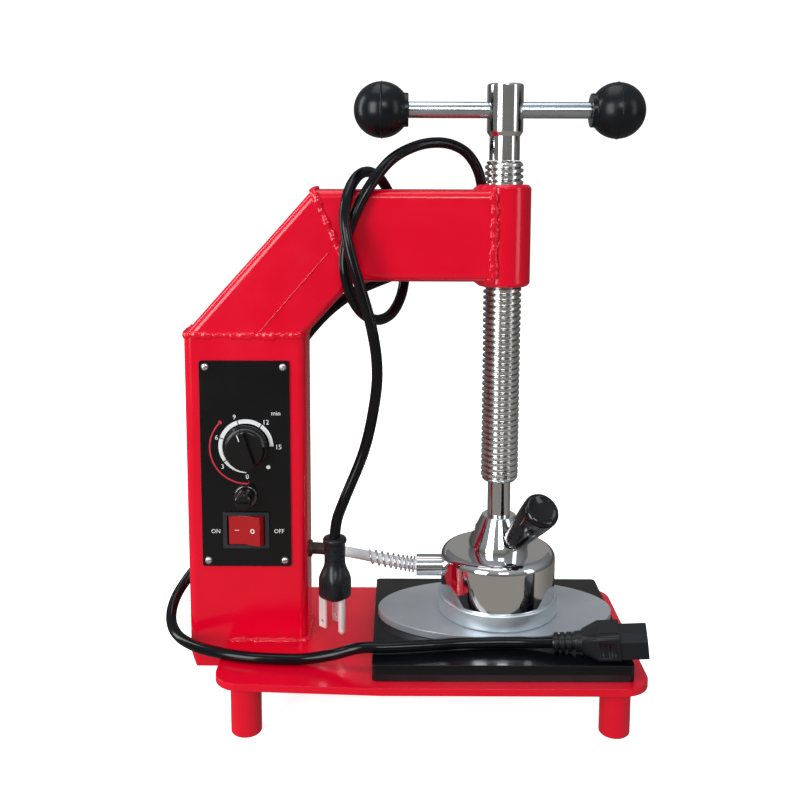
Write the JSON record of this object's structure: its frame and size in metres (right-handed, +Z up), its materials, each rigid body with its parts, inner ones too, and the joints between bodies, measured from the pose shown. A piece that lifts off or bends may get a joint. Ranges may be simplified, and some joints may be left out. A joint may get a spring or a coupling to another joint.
{
  "type": "tyre patch vulcanizer",
  "caption": "Bench tyre patch vulcanizer: red C-frame press whose hand screw lowers an electric heating head onto an oval forming plate, with a timer panel on the column and a power cord",
  "frame": {"origin": "on the floor under the middle of the machine's box, cord left out", "axes": "X to the machine's right from column to screw, Y from the control panel to the rear, Z up along the press screw"},
  "size_m": [0.3289, 0.156, 0.4225],
  "materials": {
    "red_paint": "glossy enamel over welded steel",
    "black_paint": "satin black paint",
    "aluminium": "turned and ground, unpolished",
    "chrome": "bright plated",
    "steel": "zinc-plated steel",
    "black_gloss": "polished phenolic moulding",
    "black_plastic": "satin moulded plastic",
    "red_plastic": "smooth red moulding",
    "cord_black": "smooth rubbery sheath",
    "lead_white": "white heat-proof sleeve",
    "ivory": "pale insulating material",
    "bronze": "turned bronze"
  },
  "bodies": {
    "frame": {"base_plate": "red_paint", "base_feet": "red_paint", "column_tube": "red_paint", "brace_tube": "red_paint", "arm_tube": "red_paint", "screw_boss": "red_paint", "support_block": "black_paint", "block_screws": "steel", "forming_plate": "aluminium", "control_panel": "black_paint", "panel_screws": "steel", "timer_body": "black_plastic", "rocker_housing": "black_plastic", "fuse_holder": "black_plastic", "power_inlet": "black_plastic", "inlet_pins": "steel", "inlet_screws": "steel", "terminal_block": "ivory", "lead_grommet": "cord_black", "head_lead": "lead_white", "power_cord": "cord_black", "plug_body": "black_plastic", "plug_blades": "steel", "connector_body": "black_plastic"},
    "head": {"heating_plate": "aluminium", "heating_ring": "steel", "thermostat": "steel", "insulation_disc": "ivory", "heater_shell": "chrome", "cone_screws": "steel", "swivel_cone": "chrome", "thrust_washer": "bronze", "retaining_screws": "steel", "handle_stud": "steel", "handle_grip": "black_gloss", "lead_ferrule": "chrome", "lead_spring": "steel"},
    "screw": {"press_screw": "steel"},
    "bar": {"turning_bar": "chrome", "knob_left": "black_gloss", "knob_right": "black_gloss"},
    "timer_dial": {"timer_knob": "black_plastic", "timer_shaft": "steel"},
    "rocker": {"rocker_paddle": "red_plastic"},
    "fuse": {"fuse_cap": "black_plastic", "fuse_cartridge": "ivory"}
  },
  "joints": [
    {"name": "head_lift", "type": "slide", "parent": "frame", "child": "head", "axis": [0, 0, 1], "range_m": [0, 0.1001], "deforming": ["head_lead"]},
    {"name": "screw_turn", "type": "hinge", "parent": "head", "child": "screw", "pos_m": [0.06062, 0.0075, 0.2], "axis": [0, 0, 1], "range_deg": [0, 9000]},
    {"name": "bar_slide", "type": "slide", "parent": "screw", "child": "bar", "axis": [1, 0, 0], "range_m": [-0.0445, 0.052]},
    {"name": "timer_turn", "type": "hinge", "parent": "frame", "child": "timer_dial", "pos_m": [-0.11288, -0.02, 0.1786], "axis": [0, 1, 0], "range_deg": [-207, 108]},
    {"name": "rocker_tip", "type": "hinge", "parent": "frame", "child": "rocker", "pos_m": [-0.11338, -0.0128, 0.1202], "axis": [0, 0, 1], "range_deg": [0, 24]},
    {"name": "fuse_turn", "type": "hinge", "parent": "frame", "child": "fuse", "pos_m": [-0.11338, -0.02, 0.1437], "axis": [0, 1, 0], "range_deg": [-50, 0]}
  ],
  "couplings": [
    {"joint": "head_lift", "follows": "screw_turn", "m_per_rad": 0.00063662}
  ]
}
